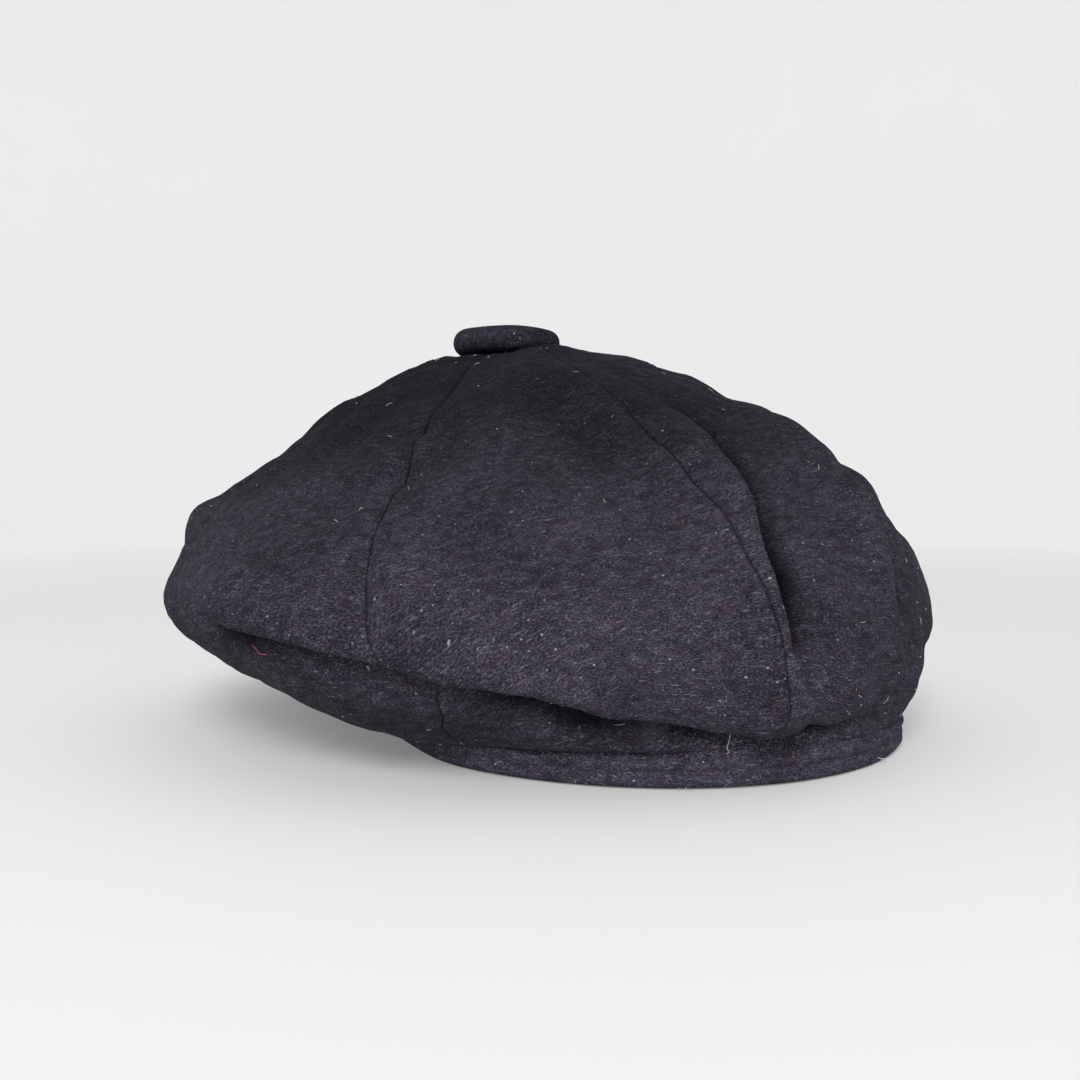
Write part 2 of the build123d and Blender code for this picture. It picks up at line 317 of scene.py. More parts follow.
# Rounded swellings: (azimuth, height, rise in mm, radius in mm).
SWELLINGS = [(76, 1.24, 4.6, 10.0), (80, 1.05, -2.5, 13.0), (85, 1.40, -5.0, 16.0),
             (150, 1.05, 1.2, 26.0), (203, 0.95, 2.0, 16.0), (208, 0.30, -3.0, 6.0),
             (120, 1.12, 1.5, 18.0), (114, 0.40, 1.8, 14.0), (243, 1.10, 0.4, 24.0),
             (246, 1.32, 5.0, 14.0), (240, 0.92, 3.5, 20.0), (236, 1.52, 3.4, 20.0)]
# Painted shade past the ridges and in the deep hollows.
RIDGE_SHADE, HOLLOW_SHADE = 0.17, 0.80
PUFF = 3.2               # how far the cloth puffs up round the button
PUFF_FULL_R, PUFF_SPREAD = 28.0, 62.0
BUTTON_HUG = 2.4         # how far it rises against the button's rim
HEM_FLARE, HEM_FLARE_AT, HEM_FLARE_SPREAD = 4.5, 106.0, 20.0
BAND_TOP = 31.0          # top of the sweatband
BAND_HEIGHTS = [0.0, 14.5, 17.5]
SHELL_INSETS, LINING_INSETS = [1.0, 0.15, 1.2], [2.7, 2.7, 2.7]
ALLOWANCE_W = 9.5        # width of the pressed seam allowance that shows through
ALLOWANCE_RISE, SEAM_GROOVE, SEAM_GROOVE_W = 0.4, 0.32, 0.45
SEAM_PUCKER, SEAM_PULL = 0.25, 0.04
# The cloth's unevenness: height in mm, wavelength in mm and seed.
UNEVENNESS = [(0.9, 70.0, 3), (0.6, 32.0, 4), (0.24, 13.0, 5), (0.06, 5.5, 8)]
HEM_ROLL, HEM_LOWER_ROLL, HEM_WAVER = 0.8, 0.55, 0.25
HEM_LINE, FOOT_LINE, LINE_W = 1.2, 0.4, 0.8
# Painted shade and painted light: shade on the top, light on the hem, shade on the sides away from the
# key light's side, and a patch where the top's shade and the hem's light are weaker.
TOP_SHADE, HEM_PAINTED_LIGHT, SIDE_SHADE = 0.66, 0.32, 0.10
PALE_PATCH, PALE_AT, PALE_SPREAD = 0.4, 228.0, 30.0
LIT_SIDE_AT, LIT_SIDE_SPREAD = 160.0, 35.0


def seam_azimuth(number, height):
    """The azimuth of the seam before a panel, as it wanders up the crown."""
    drift = SEAM_DRIFT.get(number % len(PANEL_NAMES))
    base = PANEL_STEP * number
    if drift is None:
        return np.full_like(height, base)
    return base + np.interp(height, SEAM_HEIGHTS, drift)


def path_offsets(points, path):
    """Signed distance to the side of a path on the smooth crown, and share of its length."""
    spots = np.array(path, dtype=float)
    share = np.linspace(0.0, len(path) - 1.0, PATH_SPOTS)
    azimuth = np.interp(share, range(len(path)), spots[:, 0])
    height = np.interp(share, range(len(path)), spots[:, 1])
    line, normal, _ = smooth_frame(azimuth, height, SHELL_LAYER)
    side = unit(np.cross(np.gradient(line, axis=0), normal))
    flat = points.reshape(-1, 3)
    best = np.full(len(flat), 1e9)
    found = np.zeros(len(flat), dtype=int)
    for k, spot in enumerate(line):
        distance = np.linalg.norm(flat - spot, axis=1)
        closer = distance < best
        best[closer] = distance[closer]
        found[closer] = k
    offset = flat - line[found]
    sideways = np.einsum("ij,ij->i", offset, side[found])
    signed = np.where(sideways < 0, -best, best)
    shape = points.shape[:-1]
    return signed.reshape(shape), (found / (len(line) - 1.0)).reshape(shape)


def fold_profile():
    """Tables of the fold's outward move and upward slide against the distance above its line."""
    above = np.arange(-50.0, 60.0, FOLD_STEP)
    spots = np.array(FOLD_PROFILE)
    weights = bump(np.arange(-16, 17) * FOLD_STEP, FOLD_ROUNDING)
    weights /= weights.sum()
    out = np.convolve(np.interp(above, spots[:, 0], spots[:, 1]), weights, "same")
    slide = np.convolve(np.interp(above, spots[:, 0], spots[:, 2]), weights, "same")
    return above, out, slide


FOLD_TABLES = fold_profile()


def relief(azimuth, height, points, normal, along, edge):
    """Displacement of the smooth crown: folds, creases, seams and the cloth's unevenness.

    edge is the distance in mm to the nearest seam. Returns vectors in mm, their
    outward part, and painted shade: darker in the deep hollows and on the far side of each ridge,
    lighter on its near side.
    """
    out = np.zeros_like(height)
    shadow = np.zeros_like(height)
    free = soft_step((height + 0.02) / 0.22)

    fold = np.array(FOLD_LINE)
    fold_height = np.interp(azimuth, fold[:, 0], fold[:, 1])
    strength = np.interp(azimuth, fold[:, 0], fold[:, 2], left=0.0, right=0.0)
    travel = travelled(points, 1)
    at_fold = np.array([np.interp(f[0], h, t) for f, h, t in zip(fold_height, height, travel)])
    above = travel - at_fold[:, None]
    distances, out_table, slide_table = FOLD_TABLES
    out += strength * free * np.interp(above, distances, out_table)
    slide = strength * free * np.interp(above, distances, slide_table)

    for path, depth, width in CREASES:
        signed, share = path_offsets(points, path)
        ends = soft_step(share * 3.0) * soft_step((1.0 - share) * 3.0)
        out += depth * bump(signed, width) * (0.15 + 0.85 * ends) * free
    for path, rise, before, after in RIDGES:
        signed, share = path_offsets(points, path)
        ends = soft_step(share * 3.2) * soft_step((1.0 - share) * 4.5)
        crest = np.where(signed < 0, bump(signed, before), bump(signed, after))
        valley = signed - VALLEY_AT * after
        fall = np.where(signed > 0, bump(valley, 2.0 * after), 0.0) * soft_step(signed / after)
        rest = bump(valley, 5.5 * after) * soft_step(signed / (2.0 * after))
        out += rise * ends * free * (crest - VALLEY_FALL * fall - VALLEY_REST * rest)
        # Painted shade on the far side of the ridge, and painted light on its near side.
        shadow += RIDGE_SHADE * ends * soft_step(signed / 2.0 - 0.4) * bump(signed, 24.0)
        shadow -= 0.10 * ends * np.where(signed < 0, bump(signed, 9.0), 0.0)
    for spot_azimuth, spot_height, swell, radius in SWELLINGS:
        spot = smooth_points(np.array(float(spot_azimuth)), np.array(spot_height), SHELL_LAYER)
        distance = np.linalg.norm(points - spot, axis=-1)
        out += swell * bump(distance, radius) * free

    axis = np.hypot(points[..., 0] - TOP_X, points[..., 1] - TOP_Y)
    fade = bump(np.maximum(axis - PUFF_FULL_R, 0.0), PUFF_SPREAD)
    out += PUFF * soft_step((axis - BUTTON_R - 1.0) / 9.0) * fade
    out += BUTTON_HUG * bump(axis - BUTTON_R - 2.0, 6.0)

    for uneven, wavelength, seed in UNEVENNESS:
        out += free * uneven * ripple(points, wavelength, seed)
    pucker = ripple(points * np.array([0.4, 0.4, 1.0]), 9.0, 6)
    out += free * SEAM_PUCKER * pucker * np.exp(-edge / 5.0)
    tip = soft_step((2.0 - height) / 0.12)
    allowance = soft_step(edge / 1.6) * np.exp(-(edge / ALLOWANCE_W) ** 8)
    out += free * tip * ALLOWANCE_RISE * allowance
    out -= SEAM_GROOVE * np.exp(-(edge / SEAM_GROOVE_W)) * (0.35 + 0.65 * free)

    hem = np.clip(-height, 0.0, 1.0)
    body = (height < 0.0).astype(float)
    roll = HEM_ROLL * np.sin(pi * np.clip(hem / 0.50, 0.0, 1.0)) ** 0.7
    lower = HEM_LOWER_ROLL * np.sin(pi * np.clip((hem - 0.50) / 0.50, 0.0, 1.0)) ** 0.7
    out += body * (roll + lower + HEM_WAVER * ripple(points, 11.0, 7) * np.sin(pi * hem))
    flare = bump(azimuth - HEM_FLARE_AT, HEM_FLARE_SPREAD)
    out += HEM_FLARE * flare * np.where(height < 0, 1.0 - hem, bump(height, 0.28))
    out -= HEM_LINE * (1.0 - 0.7 * flare) * bump(travel - HEM_H, LINE_W)
    out -= FOOT_LINE * bump(travel, LINE_W)
    # Painted shade in the deep hollows, as under the fold's lip.
    shadow += HOLLOW_SHADE * soft_step((-2.0 - out) / 5.0)
    return normal * out[..., None] + along * slide[..., None], out, shadow


def shell_rows():
    """Heights of the rows of a shell panel, closer together at the hem and the fold."""
    hem = np.linspace(-1.0, 0.0, HEM_ROWS + 1)
    under = np.linspace(0.0, 1.0, UNDER_ROWS + 1)[1:]
    upper = 1.0 + 0.955 * np.linspace(0.0, 1.0, UPPER_ROWS + 1)[1:]
    return np.concatenate([hem, under, upper])


def shell_columns():
    """Shares across a panel, closer together near its seams."""
    share = np.linspace(0.0, 1.0, COLUMNS + 1)
    return share - 0.6 * np.sin(2 * pi * share) / (2 * pi)


def clear_of_bands(points, insets):
    """Points moved out where they would press into the tape or the sweatband.

    insets are the least insets allowed at the heights in BAND_HEIGHTS.
    """
    azimuth = np.degrees(np.arctan2(points[..., 0], -points[..., 1])) % 360.0
    z = points[..., 2] - hem_height(azimuth, points)
    inset = np.interp(z, BAND_HEIGHTS, insets)
    share = np.hypot(points[..., 0] / (HEAD_A - inset), points[..., 1] / (HEAD_B - inset))
    grow = np.where(share < 1.0, 1.0 / share, 1.0)
    grow = 1.0 + (grow - 1.0) * soft_step((BAND_TOP + 6.0 - z) / 6.0)
    return points * np.stack([grow, grow, np.ones_like(grow)], -1)


def shell_panel(number, material):
    """One visible panel of the crown. Returns its outer grid, and its smooth normals and moves."""
    rows, columns = shell_rows(), shell_columns()
    height = np.tile(rows, (len(columns), 1))
    first, second = seam_azimuth(number, rows), seam_azimuth(number + 1, rows)
    azimuth = first + (second - first) * columns[:, None]
    points, normal, along = smooth_frame(azimuth, height, SHELL_LAYER)
    run, rise = travelled(points, 0), travelled(points, 1)
    edge = np.minimum(run, run[-1:] - run)
    move, out, shadow = relief(azimuth, height, points, normal, along, edge)
    outer = points + move
    pull = (SEAM_PULL * np.exp(-edge / 1.5))[..., None]
    side = np.where(columns < 0.5, 1.0, -1.0)[:, None, None]
    across = unit(np.gradient(points, axis=0))
    outer = clear_of_bands(outer + across * side * pull, SHELL_INSETS)
    inner = outer - grid_normals(outer) * CLOTH_T
    vertices, faces = closed_sheet(outer, inner)
    obj = new_object("cloth_" + PANEL_NAMES[number], vertices, faces, material)
    place = np.stack([run - run[-1:] / 2, rise, np.full_like(run, 40.0 * number)], -1)
    store_place(obj, place)
    # Painted shade on the top and painted light on the hem, both weaker in the pale patch; painted
    # shade on the sides away from the key light; then the relief's painted shade.
    shade = TOP_SHADE * soft_step((height - 1.10) / 0.55) - HEM_PAINTED_LIGHT * soft_step(0.5 - height * 4.0)
    shade *= 1.0 - PALE_PATCH * bump(azimuth - PALE_AT, PALE_SPREAD)
    shade += SIDE_SHADE * (1.0 - bump(azimuth - LIT_SIDE_AT, LIT_SIDE_SPREAD))
    shade += shadow * (1.0 - 0.6 * shade)
    store_shade(obj, shade)
    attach(obj, "cap")
    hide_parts("crown_" + PANEL_NAMES[number])
    return outer, normal, out


# ---- materials -------------------------------------------------------------------
class Graph:
    """A material's nodes, with short calls for the few kinds used here."""

    def __init__(self, name, roughness, specular=0.5, metallic=0.0):
        self.material = bpy.data.materials.new(name)
        self.material.use_nodes = True
        self.tree = self.material.node_tree
        self.shader = self.tree.nodes["Principled BSDF"]
        self.shader.inputs["Roughness"].default_value = roughness
        self.shader.inputs["Specular IOR Level"].default_value = specular
        self.shader.inputs["Metallic"].default_value = metallic

    def feed(self, socket, value):
        """Link a socket to a node's output, or set its value."""
        if isinstance(value, bpy.types.NodeSocket):
            self.tree.links.new(value, socket)
        elif socket.type == "RGBA":
            socket.default_value = (*value, 1.0)
        else:
            socket.default_value = value

    def node(self, kind, inputs=(), **settings):
        made = self.tree.nodes.new("ShaderNode" + kind)
        for key, value in settings.items():
            setattr(made, key, value)
        for key, value in dict(inputs).items():
            self.feed(made.inputs[key], value)
        return made

    def attribute(self, name, output="Vector"):
        return self.node("Attribute", attribute_name=name).outputs[output]

    def stretched(self, vector, scale, turn=0.0):
        inputs = {"Vector": vector, "Scale": scale, "Rotation": (0.0, 0.0, turn)}
        return self.node("Mapping", inputs).outputs["Vector"]

    def noise(self, vector, scale, detail=2.0, rough=0.5, distortion=0.0):
        inputs = {"Vector": vector, "Scale": scale, "Detail": detail, "Roughness": rough,
                  "Distortion": distortion}
        return self.node("TexNoise", inputs).outputs["Fac"]

    def bands(self, vector, wavelength, distortion=0.0, direction="X"):
        inputs = {"Vector": vector, "Scale": pi / 10.0 / wavelength, "Distortion": distortion,
                  "Detail": 2.0, "Detail Scale": 1.5}
        made = self.node("TexWave", inputs, wave_type="BANDS", bands_direction=direction)
        return made.outputs["Fac"]

    def ramp(self, value, stops):
        made = self.node("ValToRGB", {"Fac": value})
        elements = made.color_ramp.elements
        while len(elements) < len(stops):
            elements.new(0.5)
        for element, (place, colour) in zip(elements, stops):
            element.position = place
            element.color = (*colour, 1.0)
        return made.outputs["Color"]

    def remap(self, value, low, high, start=0.0, end=1.0):
        inputs = {"Value": value, "From Min": low, "From Max": high, "To Min": start, "To Max": end}
        return self.node("MapRange", inputs).outputs["Result"]

    def maths(self, operation, first, second):
        made = self.node("Math", {0: first, 1: second}, operation=operation)
        return made.outputs["Value"]

    def mix(self, factor, first, second, blend="MIX"):
        """Two colours mixed; the sockets of a mix node for colours are 0, 6 and 7."""
        settings = {"data_type": "RGBA", "blend_type": blend}
        return self.node("Mix", {0: factor, 6: first, 7: second}, **settings).outputs[2]

    def colour(self, socket):
        self.feed(self.shader.inputs["Base Color"], socket)

    def roughness(self, socket):
        self.feed(self.shader.inputs["Roughness"], socket)

    def bump(self, height, strength, distance):
        made = self.node("Bump", {"Height": height, "Strength": strength, "Distance": distance})
        self.feed(self.shader.inputs["Normal"], made.outputs["Normal"])


def wool_material():
    """Heathered flannel: a fine twill of dark and pale fibres, some of them reddish."""
    graph = Graph("wool_flannel", 0.95, specular=0.05)
    place = graph.attribute("cloth")
    grain = graph.noise(graph.stretched(place, (0.8, 2.6, 1.0), 0.10), 1.5, 3.0, 0.75)
    mottle = graph.noise(graph.stretched(place, (0.7, 1.5, 1.0), 0.10), 0.34, 3.0, 0.6)
    weave = graph.maths("ADD", graph.maths("MULTIPLY", grain, 0.79),
                        graph.maths("MULTIPLY", mottle, 0.21))
    heather = graph.ramp(weave, [(0.38, (0.009, 0.008, 0.012)), (0.49, (0.025, 0.022, 0.033)),
                                 (0.57, (0.056, 0.051, 0.070)), (0.68, (0.19, 0.18, 0.22))])
    fibre = graph.noise(graph.stretched(place, (0.42, 2.2, 1.0), 0.25), 0.9, 2.0, 0.5, 0.4)
    heather = graph.mix(graph.remap(fibre, 0.60, 0.72, 0.0, 0.8), heather, (0.13, 0.125, 0.145))
    fleck = graph.noise(place, 0.75, 1.0, 0.4)
    heather = graph.mix(graph.remap(fleck, 0.735, 0.79, 0.0, 0.75), heather, (0.34, 0.33, 0.35))
    red = graph.noise(graph.stretched(place, (0.5, 1.0, 1.0)), 0.35, 4.0, 0.7)
    heather = graph.mix(graph.remap(red, 0.52, 0.70, 0.0, 0.42), heather, (0.034, 0.015, 0.021))
    cloud = graph.remap(graph.noise(place, 0.035, 3.0, 0.55), 0.32, 0.68, 0.72, 1.16)
    # Painted shade and painted light, from the shade attribute, multiply the colour: darker top, sides
    # and hollows, paler hem.
    painted_shading = graph.remap(graph.attribute("shade", "Fac"), -1.0, 1.0, 2.0, 0.0)
    tone = graph.maths("MULTIPLY", cloud, painted_shading)
    grey = graph.node("CombineXYZ", {"X": tone, "Y": tone, "Z": tone}).outputs["Vector"]
    graph.colour(graph.mix(1.0, heather, grey, "MULTIPLY"))
    graph.bump(weave, 0.08, 0.0002)
    return graph.material


def satin_material():
    """Dark satin with fine threads and an uneven shine."""
    graph = Graph("satin_lining", 0.38, specular=0.45)
    graph.shader.inputs["Sheen Weight"].default_value = 0.15
    place = graph.attribute("cloth")
    threads = graph.bands(graph.stretched(place, (1.0, 1.0, 1.0), 0.9), 0.45, 0.6)
    patch = graph.noise(place, 0.06, 3.0)
    graph.colour(graph.mix(patch, (0.014, 0.016, 0.026), (0.026, 0.028, 0.042)))
    graph.roughness(graph.remap(graph.noise(place, 0.5, 3.0), 0.3, 0.7, 0.32, 0.48))
    graph.bump(threads, 0.25, 0.0001)
    return graph.material


def ribbon_material(name, dark, light, rib, roughness):
    """A ribbed ribbon; rib is the distance from one rib to the next in mm."""
    graph = Graph(name, roughness, specular=0.25)
    place = graph.attribute("cloth")
    ribs = graph.bands(place, rib, 0.3)
    thread = graph.bands(place, 0.5, 0.8, "Y")
    wear = graph.noise(place, 0.12, 4.0, 0.6)
    base = graph.mix(ribs, dark, light)
    graph.colour(graph.mix(graph.remap(wear, 0.5, 0.75, 0.0, 0.45), base, light))
    graph.bump(graph.maths("ADD", ribs, graph.maths("MULTIPLY", thread, 0.3)), 0.6, 0.0003)
    return graph.material


def label_material():
    graph = Graph("woven_label", 0.75, specular=0.2)
    place = graph.attribute("cloth")
    weave = graph.maths("MULTIPLY", graph.bands(place, 0.5), graph.bands(place, 0.5, 0.0, "Y"))
    soil = graph.noise(place, 0.15, 4.0, 0.6)
    cloth = graph.mix(weave, (0.33, 0.31, 0.27), (0.47, 0.45, 0.40))
    graph.colour(graph.mix(graph.remap(soil, 0.45, 0.8, 0.0, 0.35), cloth, (0.22, 0.20, 0.17)))
    graph.bump(weave, 0.4, 0.0002)
    return graph.material


def steel_material():
    graph = Graph("button_steel", 0.35, metallic=1.0)
    place = graph.node("TexCoord").outputs["Object"]
    lines = graph.noise(graph.stretched(place, (300.0, 300.0, 4000.0)), 1.0, 4.0, 0.6)
    spots = graph.noise(place, 260.0, 5.0, 0.65)
    metal = graph.mix(lines, (0.44, 0.44, 0.45), (0.62, 0.62, 0.63))
    graph.colour(graph.mix(graph.remap(spots, 0.58, 0.75, 0.0, 0.6), metal, (0.20, 0.15, 0.11)))
    graph.roughness(graph.remap(spots, 0.3, 0.8, 0.26, 0.6))
    graph.bump(lines, 0.15, 0.0001)
    return graph.material


def board_material():
    graph = Graph("visor_board", 0.6, specular=0.4)
    place = graph.attribute("cloth")
    grain = graph.noise(place, 1.8, 4.0, 0.6)
    graph.colour(graph.mix(grain, (0.075, 0.075, 0.082), (0.125, 0.125, 0.135)))
    graph.roughness(graph.remap(grain, 0.3, 0.7, 0.5, 0.7))
    graph.bump(grain, 0.3, 0.0002)
    return graph.material


def thread_material(name, dark, light):
    graph = Graph(name, 0.8, specular=0.2)
    place = graph.node("TexCoord").outputs["Object"]
    twist = graph.noise(place, 2500.0, 2.0)
    graph.colour(graph.mix(twist, dark, light))
    graph.bump(twist, 0.4, 0.0001)
    return graph.material


# ---- button cover ----------------------------------------------------------------
# Half of the button in section: radius, and depth below its top.
BUTTON_PROFILE = [(0.0, 0.0), (6.0, 0.0), (11.0, 0.05), (14.5, 0.1), (16.6, 0.3), (18.4, 1.1),
                  (19.5, 2.7), (19.9, 4.6), (19.5, 6.4), (18.2, 8.0), (16.3, 8.7), (14.0, 8.8)]
BUTTON_SPANS, BUTTON_ROWS = 96, 40
BUTTON_CLOTH_T = 1.1
DEEPEST_WRINKLE = 0.05       # so that the shell inside never shows through
PEAK_WAY, PEAK_R, PEAK_H = 240.0, 4.4, 1.5


def button_cover(material):
    """The cloth gathered over the button, smooth on top and wrinkled round the rim."""
    spots = np.array(BUTTON_PROFILE)
    reach = np.concatenate([[0.0], np.cumsum(np.hypot(*np.diff(spots, axis=0).T))])
    row = np.linspace(0.0, reach[-1], BUTTON_ROWS)
    radius = np.interp(row, reach, spots[:, 0])
    depth = np.interp(row, reach, spots[:, 1])
    for _ in range(2):
        radius[1:-1] = (radius[:-2] + 2 * radius[1:-1] + radius[2:]) / 4
        depth[1:-1] = (depth[:-2] + 2 * depth[1:-1] + depth[2:]) / 4
    turn = np.linspace(0.0, 2 * pi, BUTTON_SPANS + 1)[:, None]
    turn[-1] = 0.0
    way = np.stack([np.cos(turn), np.sin(turn), np.zeros_like(turn)], -1)
    outer = way * radius[None, :, None]
    outer[..., 2] = BUTTON_TOP_Z + 0.2 - depth
    outer += np.array([TOP_X, TOP_Y, 0.0])
    rim = soft_step((row / reach[-1] - 0.42) / 0.3)
    fine = 0.10 * ripple(outer * np.array([1.0, 1.0, 0.5]), 9.0, 21)
    fold = np.maximum(fine + 0.45 * ripple(outer, 22.0, 22), -DEEPEST_WRINKLE)
    peak_at = headings(np.array(PEAK_WAY)) * PEAK_R + np.array([TOP_X, TOP_Y, BUTTON_TOP_Z])
    peak = PEAK_H * bump(np.linalg.norm((outer - peak_at)[..., :2], axis=-1), 2.2)
    outer = outer + ring_normals(outer) * -(rim * fold)[..., None]
    outer[..., 2] += peak * (1.0 - rim) + 0.2 * ripple(outer, 16.0, 23) * (1.0 - rim)
    outer[:, 0] = outer[:, 0].mean(axis=0)
    inner = outer + ring_normals(outer) * BUTTON_CLOTH_T
    inner[:, 0] = outer[:, 0] - np.array([0.0, 0.0, BUTTON_CLOTH_T])
    vertices, faces = closed_sheet(outer, inner, ring=True)
    obj = new_object("cloth_button_cover", vertices, [face[::-1] for face in faces], material)
    place = np.stack([row * np.cos(turn), row * np.sin(turn), np.full(outer.shape[:2], 350.0)], -1)
    store_place(obj, place)
    # Painted shade on the button cover, more on its top, as on the crown's top.
    store_shade(obj, np.tile(0.30 + 0.30 * (1.0 - rim), (len(turn), 1)))
    weld(obj)
    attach(obj, "cap")
    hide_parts("button_cover")


def ring_normals(grid):
    """Like grid_normals, for a grid whose first and last columns are the same."""
    return grid_normals(np.concatenate([grid[-2:-1], grid, grid[1:2]]))[1:-1]


# ---- bands round the head opening --------------------------------------------------
JOIN_GAP = 0.8
# Section of the hem's turned-under cloth: inset and height in mm.
TURN_UP = [(0.5, 0.25), (1.0, 0.02), (1.8, -0.02), (2.6, 0.02), (3.3, 0.10), (3.9, 0.12)]
TURN_UP_T = 0.45
SLANT = (0.3, 0.5, 0.81)     # a direction that no thread runs in
RING_COLUMNS = 240


def strip_place(run, across, third):
    """Places on a strip's cloth, from distances along it and across it."""
    along, over = np.meshgrid(run, across, indexing="ij")
    return np.stack([along, over, np.full_like(along, third)], -1)


def hem_turn_up(material):
    """The cloth of the hem, turned under the tape to meet the sweatband."""
    azimuth = np.linspace(-180.0, 180.0, RING_COLUMNS + 1)
    section = np.array(TURN_UP)
    way, foot = hem_foot(azimuth, 0.0)
    under = foot[:, None] - way[:, None] * section[None, :, :1]
    under[..., 2] += section[None, :, 1]
    under[-1] = under[0]
    upper = under + np.array([0.0, 0.0, TURN_UP_T])
    vertices, faces = closed_sheet(upper, under, ring=True)
    obj = new_object("cloth_hem_turn_up", vertices, faces, material)
    run = travelled(foot[:, :2], 0)
    store_place(obj, strip_place(run, section[:, 0], 500.0))
    weld(obj)
    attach(obj, "cap")


def head_band(name, node, material, inset, thickness, low, high, rows, sway):
    """A band round the head opening with a butt join at the centre back.

    sway is how far its upper edge leans and wavers, in mm.
    """
    half = degrees(JOIN_GAP / 2 / HEAD_A)
    azimuth = np.linspace(half - 180.0, 180.0 - half, RING_COLUMNS + 1)
    way, foot = hem_foot(azimuth, inset)
    share = np.linspace(0.0, 1.0, rows)
    outer = np.repeat(foot[:, None], rows, axis=1)
    outer[..., 2] += low + (high - low) * share
    waver = sway * share**2 * (0.5 + 0.35 * ripple(outer * np.array([1.0, 1.0, 0.1]), 45.0, 31))
    outer -= way[:, None] * np.clip(waver, 0.0, None)[..., None]
    belly = 0.12 * (1.0 + ripple(outer, 14.0, 32)) * np.sin(pi * share)
    outer -= way[:, None] * belly[..., None]
    inner = outer - way[:, None] * thickness
    vertices, faces = closed_sheet(outer, inner)
    obj = new_object(name, vertices, faces, material)
    run = travelled(foot[:, :2], 0)
    store_place(obj, strip_place(run, (high - low) * share, 0.0))
    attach(obj, "cap")
    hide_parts(node)


def add_tube(vertices, faces, line, sides, overs, radii, spokes):
    """Add a round tube with closed ends to lists of vertices and faces."""
    turn = 2 * pi * np.arange(spokes)[None, :, None] / spokes
    spread = sides[:, None] * np.cos(turn) + overs[:, None] * np.sin(turn)
    rings = line[:, None] + spread * radii[:, None, None]
    start, last = len(vertices), len(vertices) + (len(line) - 1) * spokes
    vertices.extend(rings.reshape(-1, 3))
    for ring in range(start, last, spokes):
        for t in range(spokes):
            a, b = ring + t, ring + (t + 1) % spokes
            faces.append((a, b, b + spokes, a + spokes))
    faces.append(tuple(range(start, start + spokes))[::-1])
    faces.append(tuple(range(last, last + spokes)))


def add_thread(vertices, faces, line, radii, spokes):
    """Add a tube along a line of points that bends any way."""
    line = np.array(line)
    way = unit(np.gradient(line, axis=0))
    side = unit(np.cross(way, SLANT))
    add_tube(vertices, faces, line, side, np.cross(way, side), radii, spokes)


# ---- lining and label ----------------------------------------------------------------
LINING_T = 0.5
LINING_SHARE_TOP = 0.97


def remember_shell(panels):
    """The shell's outward moves and where they are, so that the lining stays inside its folds."""
    points = np.concatenate([(outer - normal * out[..., None]).reshape(-1, 3)
                             for outer, normal, out in panels])
    tree = KDTree(len(points))
    for index, point in enumerate(points):
        tree.insert(point, index)
    tree.balance()
    return tree, np.concatenate([out.ravel() for _, _, out in panels])


def lining_grid(azimuth, height, shell_moves):
    """Points and normals of the satin at some azimuths and heights."""
    points, normal, _ = smooth_frame(azimuth, height, LINING_LAYER)
    tree, moves = shell_moves
    push = np.zeros(points.shape[:-1])
    for index in np.ndindex(push.shape):
        near = tree.find_n(points[index], 12)
        push[index] = max(0.0, -min(moves[found] for _, found, _ in near) - 0.8)
    slack = 0.5 * (1.2 + ripple(points, 26.0, 41)) + 0.25 * (1.2 + ripple(points, 11.0, 42))
    free = soft_step((height + 0.1) / 0.4)
    pushed = points - normal * (push + np.clip(slack, 0.0, None) * free)[..., None]
    return clear_of_bands(pushed, LINING_INSETS), normal


def lining_panel(number, material, shell_moves):
    """One wedge of satin inside the shell, slack between its seams."""
    height = np.concatenate([np.linspace(-1.0, 0.0, 3), np.linspace(0.0, 1.0, 25)[1:],
                             1.0 + LINING_SHARE_TOP * np.linspace(0.0, 1.0, 33)[1:]])
    share = np.linspace(0.0, 1.0, 25)
    azimuth = np.repeat(PANEL_STEP * (number + share)[:, None], len(height), axis=1)
    outer, normal = lining_grid(azimuth, np.tile(height, (len(share), 1)), shell_moves)
    edge = np.minimum(share, 1.0 - share)[:, None] * 90.0
    outer = outer - normal * (0.5 * np.exp(-edge / 1.5))[..., None]
    inner = outer - normal * LINING_T
    vertices, faces = closed_sheet(outer, inner)
    obj = new_object("satin_" + PANEL_NAMES[number], vertices, faces, material)
    run, rise = travelled(outer, 0), travelled(outer, 1)
    place = np.stack([run, rise, np.full_like(run, 30.0 * number)], -1)
    store_place(obj, place)
    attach(obj, "cap")
    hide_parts("lining_" + PANEL_NAMES[number])


LABEL_PANEL, LABEL_W, LABEL_L = 3, 42.0, 28.0
STITCH_L, STITCH_R, STITCH_STEP, STITCH_IN = 1.8, 0.16, 2.6, 1.6


